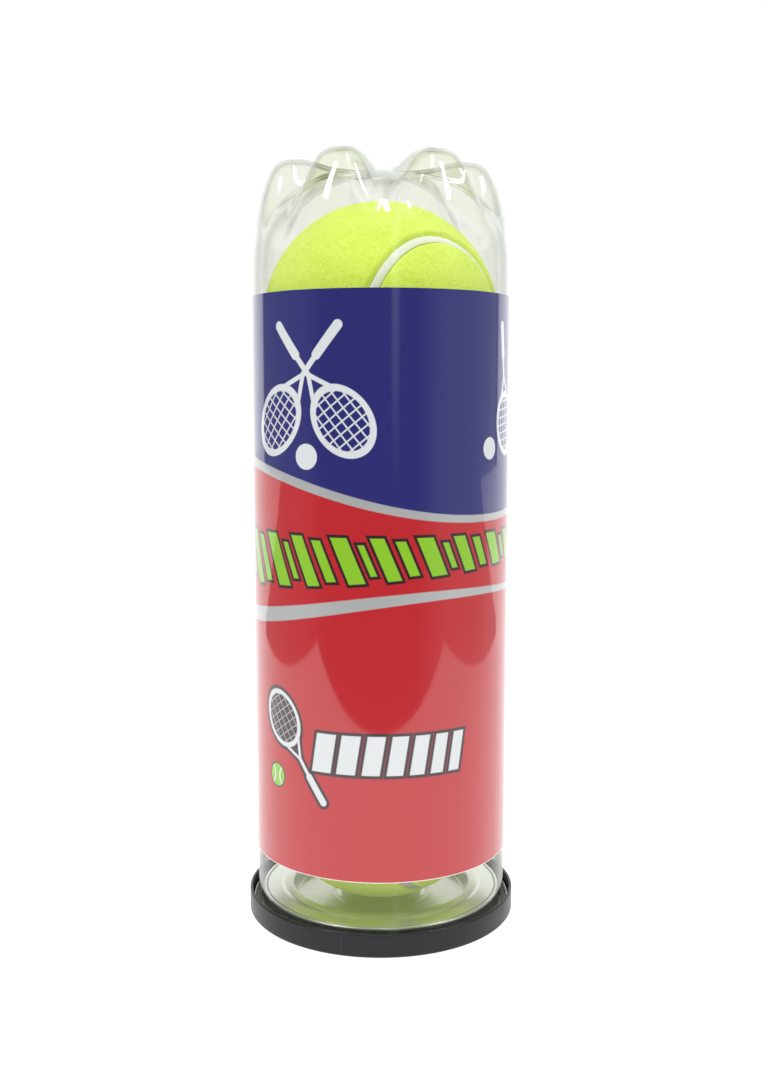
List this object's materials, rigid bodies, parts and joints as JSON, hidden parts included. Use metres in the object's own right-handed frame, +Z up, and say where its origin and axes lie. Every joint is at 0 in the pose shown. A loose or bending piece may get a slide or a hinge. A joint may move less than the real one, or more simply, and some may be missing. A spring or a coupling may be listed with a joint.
{
  "type": "tennis ball can",
  "caption": "Clear plastic tube of tennis balls standing mouth down in its overcap, with a printed wrap, a seamed pull-off metal end, a footed moulded base and balls that lift out.",
  "frame": {"origin": "centre of the overcap's underside, which the can stands on", "axes": "+Z up the can's axis; -Y is the side the wrap's main face is on"},
  "size_m": [0.0768, 0.0768, 0.2145],
  "materials": {
    "black_plastic": "satin moulded",
    "clear_pet": "clear, blow moulded",
    "printed_wrap": "glossy print",
    "aluminium": "bright rolled",
    "compound": "matt",
    "felt": "napped felt",
    "seam_rubber": "matt",
    "core_rubber": "matt"
  },
  "bodies": {
    "overcap": {"overcap": "black_plastic"},
    "end_panel": {"tear_panel": "aluminium", "tab_rivet": "aluminium", "tab_tongue": "aluminium"},
    "tab": {"pull_tab": "aluminium"},
    "bottom_ball": {"bottom_ball_felt_a": "felt", "bottom_ball_felt_b": "felt", "bottom_ball_seam": "seam_rubber", "bottom_ball_core_half_a": "core_rubber", "bottom_ball_core_half_b": "core_rubber"},
    "middle_ball": {"middle_ball_felt_a": "felt", "middle_ball_felt_b": "felt", "middle_ball_seam": "seam_rubber", "middle_ball_core_half_a": "core_rubber", "middle_ball_core_half_b": "core_rubber"},
    "top_ball": {"top_ball_felt_a": "felt", "top_ball_felt_b": "felt", "top_ball_seam": "seam_rubber", "top_ball_core_half_a": "core_rubber", "top_ball_core_half_b": "core_rubber"},
    "can": {"tube": "clear_pet", "wrap": "printed_wrap", "end_ring": "aluminium", "seam_compound": "compound"}
  },
  "joints": [
    {"name": "end_panel_lift", "type": "slide", "parent": "overcap", "child": "end_panel", "axis": [0, 0, 1], "range_m": [0, 0.05]},
    {"name": "tab_raise", "type": "hinge", "parent": "end_panel", "child": "tab", "pos_m": [0, -0.0272, 0.0019], "axis": [-1, 0, 0], "range_deg": [0, 62]},
    {"name": "bottom_ball_lift", "type": "slide", "parent": "end_panel", "child": "bottom_ball", "axis": [0, 0, 1], "range_m": [0, 0.08]},
    {"name": "middle_ball_lift", "type": "slide", "parent": "bottom_ball", "child": "middle_ball", "axis": [0, 0, 1], "range_m": [0, 0.08]},
    {"name": "top_ball_lift", "type": "slide", "parent": "middle_ball", "child": "top_ball", "axis": [0, 0, 1], "range_m": [0, 0.08]},
    {"name": "can_lift", "type": "slide", "parent": "top_ball", "child": "can", "axis": [0, 0, 1], "range_m": [0, 0.24]}
  ],
  "couplings": [
    {"joint": "tab_raise", "follows": "end_panel_lift", "rad_per_m": 20.9}
  ]
}
